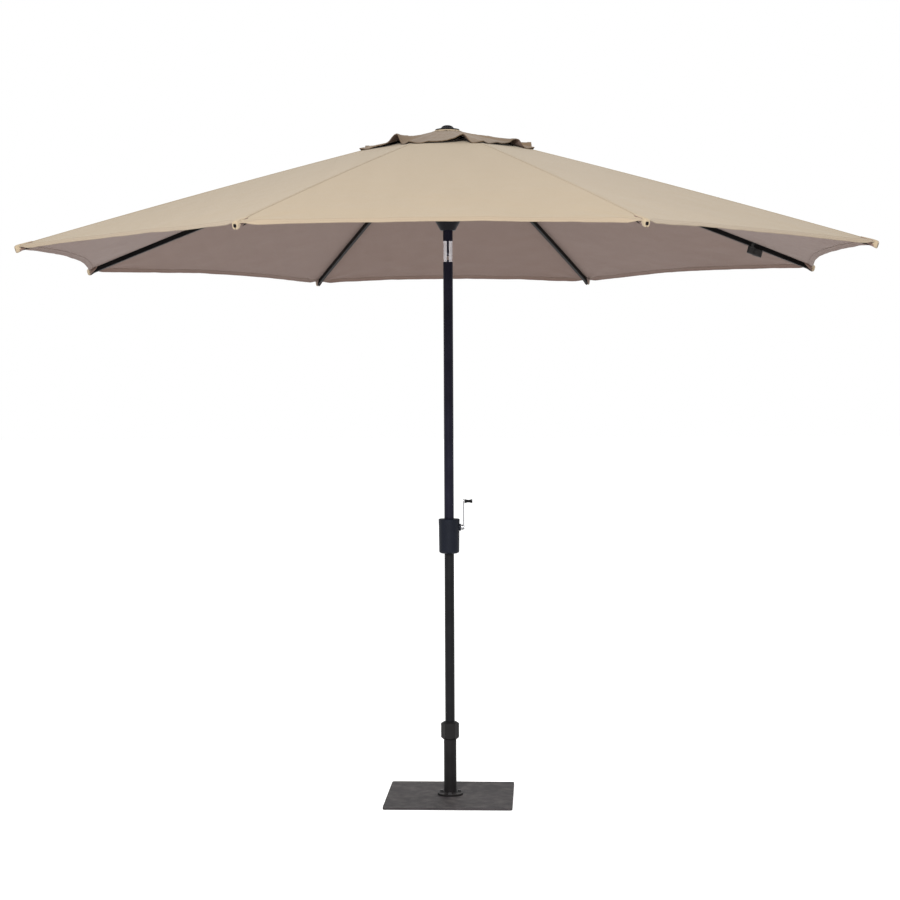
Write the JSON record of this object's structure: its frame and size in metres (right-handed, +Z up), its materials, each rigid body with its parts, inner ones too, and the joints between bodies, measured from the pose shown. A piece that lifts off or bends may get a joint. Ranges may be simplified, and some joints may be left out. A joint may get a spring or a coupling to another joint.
{
  "type": "patio umbrella with base",
  "caption": "Crank-lift market umbrella with a vented eight-sided fabric canopy, tilting mast and square steel plate base.",
  "frame": {"origin": "on the ground under the pole, at the centre of the base plate", "axes": "+Z up along the pole, -Y towards the front, crank on the +X side"},
  "size_m": [3.107, 3.107, 2.653],
  "materials": {
    "plate_steel": "dark grey powder coat, fine texture",
    "stem_steel": "black-brown powder coat",
    "pole_steel": "smooth black paint, satin",
    "frame_steel": "black paint, satin",
    "black_plastic": "moulded nylon, fine grain",
    "grip_plastic": "black, semi-gloss",
    "foot_rubber": "matt",
    "chrome": "polished",
    "zinc_steel": "zinc plated",
    "black_bolts": "black oxide",
    "white_nylon": "natural nylon",
    "tip_plastic": "black moulded nylon",
    "canopy_fabric": "woven polyester, beige",
    "strap_webbing": "black webbing",
    "cord_polyester": "braided polyester"
  },
  "bodies": {
    "base": {"base_plate": "plate_steel", "foot_pads": "foot_rubber", "base_stem": "stem_steel", "flange_bolts": "black_bolts", "pole_sleeve": "black_plastic"},
    "collar": {"locking_collar": "black_plastic"},
    "pole_foot": {"pole_foot_plug": "black_plastic"},
    "pole": {"lower_pole": "pole_steel", "pole_joiner": "zinc_steel", "upper_pole": "pole_steel", "crank_housing_front": "black_plastic", "crank_housing_rear": "black_plastic", "housing_screws": "zinc_steel", "shaft_bushes": "white_nylon", "brake_spring": "zinc_steel", "tilt_fork": "chrome", "tilt_pin": "zinc_steel"},
    "crank": {"crank_shaft": "zinc_steel", "cord_drum": "white_nylon", "crank_arm": "chrome", "crank_screw": "zinc_steel", "grip_pin": "zinc_steel"},
    "grip": {"crank_grip": "grip_plastic"},
    "mast": {"tilt_tongue": "chrome", "mast": "pole_steel", "hub": "black_plastic", "hub_pins": "zinc_steel", "pulley_pin": "zinc_steel", "finial": "black_plastic", "lifting_cord": "cord_polyester", "canopy": "canopy_fabric", "vent_cap": "canopy_fabric"},
    "pulley": {"cord_pulley": "white_nylon"},
    "rib_1": {"rib_1": "frame_steel", "rib_tip_1": "tip_plastic", "tie_strap": "strap_webbing"},
    "rib_2": {"rib_2": "frame_steel", "rib_tip_2": "tip_plastic"},
    "rib_3": {"rib_3": "frame_steel", "rib_tip_3": "tip_plastic"},
    "rib_4": {"rib_4": "frame_steel", "rib_tip_4": "tip_plastic"},
    "rib_5": {"rib_5": "frame_steel", "rib_tip_5": "tip_plastic"},
    "rib_6": {"rib_6": "frame_steel", "rib_tip_6": "tip_plastic"},
    "rib_7": {"rib_7": "frame_steel", "rib_tip_7": "tip_plastic"},
    "rib_8": {"rib_8": "frame_steel", "rib_tip_8": "tip_plastic"},
    "strut_1": {"strut_1": "frame_steel"},
    "strut_2": {"strut_2": "frame_steel"},
    "strut_3": {"strut_3": "frame_steel"},
    "strut_4": {"strut_4": "frame_steel"},
    "strut_5": {"strut_5": "frame_steel"},
    "strut_6": {"strut_6": "frame_steel"},
    "strut_7": {"strut_7": "frame_steel"},
    "strut_8": {"strut_8": "frame_steel"},
    "runner": {"runner": "black_plastic", "runner_pins": "zinc_steel"}
  },
  "joints": [
    {"name": "collar_turn", "type": "hinge", "parent": "base", "child": "collar", "pos_m": [0, 0, 0.266], "axis": [0, 0, 1], "range_deg": [0, 270]},
    {"name": "pole_lift", "type": "slide", "parent": "base", "child": "pole_foot", "axis": [0, 0, 1], "range_m": [0, 0.28]},
    {"name": "pole_swivel", "type": "hinge", "parent": "pole_foot", "child": "pole", "pos_m": [0, 0, 0.03], "axis": [0, 0, 1], "continuous": true},
    {"name": "tilt", "type": "hinge", "parent": "pole", "child": "mast", "pos_m": [0, 0, 2.152], "axis": [1, 0, 0], "range_deg": [0, 30]},
    {"name": "crank_turn", "type": "hinge", "parent": "pole", "child": "crank", "pos_m": [0, 0, 1.072], "axis": [1, 0, 0], "range_deg": [-4000, 0]},
    {"name": "grip_spin", "type": "hinge", "parent": "crank", "child": "grip", "pos_m": [0.077, 0, 1.175], "axis": [1, 0, 0], "continuous": true},
    {"name": "canopy_fold", "type": "hinge", "parent": "mast", "child": "rib_1", "pos_m": [0.0388, 0.01607, 2.616], "axis": [0.3827, -0.9239, 0], "range_deg": [-70, 0], "deforming": ["canopy", "vent_cap", "lifting_cord"]},
    {"name": "rib_2_fold", "type": "hinge", "parent": "mast", "child": "rib_2", "pos_m": [0.01607, 0.0388, 2.616], "axis": [0.9239, -0.3827, 0], "range_deg": [-70, 0]},
    {"name": "rib_3_fold", "type": "hinge", "parent": "mast", "child": "rib_3", "pos_m": [-0.01607, 0.0388, 2.616], "axis": [0.9239, 0.3827, 0], "range_deg": [-70, 0]},
    {"name": "rib_4_fold", "type": "hinge", "parent": "mast", "child": "rib_4", "pos_m": [-0.0388, 0.01607, 2.616], "axis": [0.3827, 0.9239, 0], "range_deg": [-70, 0]},
    {"name": "rib_5_fold", "type": "hinge", "parent": "mast", "child": "rib_5", "pos_m": [-0.0388, -0.01607, 2.616], "axis": [-0.3827, 0.9239, 0], "range_deg": [-70, 0]},
    {"name": "rib_6_fold", "type": "hinge", "parent": "mast", "child": "rib_6", "pos_m": [-0.01607, -0.0388, 2.616], "axis": [-0.9239, 0.3827, 0], "range_deg": [-70, 0]},
    {"name": "rib_7_fold", "type": "hinge", "parent": "mast", "child": "rib_7", "pos_m": [0.01607, -0.0388, 2.616], "axis": [-0.9239, -0.3827, 0], "range_deg": [-70, 0]},
    {"name": "rib_8_fold", "type": "hinge", "parent": "mast", "child": "rib_8", "pos_m": [0.0388, -0.01607, 2.616], "axis": [-0.3827, -0.9239, 0], "range_deg": [-70, 0]},
    {"name": "strut_1_fold", "type": "hinge", "parent": "rib_1", "child": "strut_1", "pos_m": [0.52324, 0.21673, 2.45], "axis": [0.3827, -0.9239, 0], "range_deg": [0, 140]},
    {"name": "strut_2_fold", "type": "hinge", "parent": "rib_2", "child": "strut_2", "pos_m": [0.21673, 0.52324, 2.45], "axis": [0.9239, -0.3827, 0], "range_deg": [0, 140]},
    {"name": "strut_3_fold", "type": "hinge", "parent": "rib_3", "child": "strut_3", "pos_m": [-0.21673, 0.52324, 2.45], "axis": [0.9239, 0.3827, 0], "range_deg": [0, 140]},
    {"name": "strut_4_fold", "type": "hinge", "parent": "rib_4", "child": "strut_4", "pos_m": [-0.52324, 0.21673, 2.45], "axis": [0.3827, 0.9239, 0], "range_deg": [0, 140]},
    {"name": "strut_5_fold", "type": "hinge", "parent": "rib_5", "child": "strut_5", "pos_m": [-0.52324, -0.21673, 2.45], "axis": [-0.3827, 0.9239, 0], "range_deg": [0, 140]},
    {"name": "strut_6_fold", "type": "hinge", "parent": "rib_6", "child": "strut_6", "pos_m": [-0.21673, -0.52324, 2.45], "axis": [-0.9239, 0.3827, 0], "range_deg": [0, 140]},
    {"name": "strut_7_fold", "type": "hinge", "parent": "rib_7", "child": "strut_7", "pos_m": [0.21673, -0.52324, 2.45], "axis": [-0.9239, -0.3827, 0], "range_deg": [0, 140]},
    {"name": "strut_8_fold", "type": "hinge", "parent": "rib_8", "child": "strut_8", "pos_m": [0.52324, -0.21673, 2.45], "axis": [-0.3827, -0.9239, 0], "range_deg": [0, 140]},
    {"name": "runner_pivot", "type": "hinge", "parent": "strut_1", "child": "runner", "pos_m": [0.0388, 0.01607, 2.284], "axis": [0.3827, -0.9239, 0], "range_deg": [-70, 0]},
    {"name": "pulley_spin", "type": "hinge", "parent": "mast", "child": "pulley", "pos_m": [0.017, 0, 2.609], "axis": [0, 1, 0], "range_deg": [-5200, 0]}
  ],
  "couplings": [
    {"joint": "crank_turn", "follows": "canopy_fold", "ratio": 57},
    {"joint": "rib_2_fold", "follows": "canopy_fold", "ratio": 1},
    {"joint": "rib_3_fold", "follows": "canopy_fold", "ratio": 1},
    {"joint": "rib_4_fold", "follows": "canopy_fold", "ratio": 1},
    {"joint": "rib_5_fold", "follows": "canopy_fold", "ratio": 1},
    {"joint": "rib_6_fold", "follows": "canopy_fold", "ratio": 1},
    {"joint": "rib_7_fold", "follows": "canopy_fold", "ratio": 1},
    {"joint": "rib_8_fold", "follows": "canopy_fold", "ratio": 1},
    {"joint": "strut_1_fold", "follows": "canopy_fold", "ratio": -2},
    {"joint": "strut_2_fold", "follows": "canopy_fold", "ratio": -2},
    {"joint": "strut_3_fold", "follows": "canopy_fold", "ratio": -2},
    {"joint": "strut_4_fold", "follows": "canopy_fold", "ratio": -2},
    {"joint": "strut_5_fold", "follows": "canopy_fold", "ratio": -2},
    {"joint": "strut_6_fold", "follows": "canopy_fold", "ratio": -2},
    {"joint": "strut_7_fold", "follows": "canopy_fold", "ratio": -2},
    {"joint": "strut_8_fold", "follows": "canopy_fold", "ratio": -2},
    {"joint": "runner_pivot", "follows": "canopy_fold", "ratio": 1},
    {"joint": "pulley_spin", "follows": "canopy_fold", "ratio": 74}
  ]
}
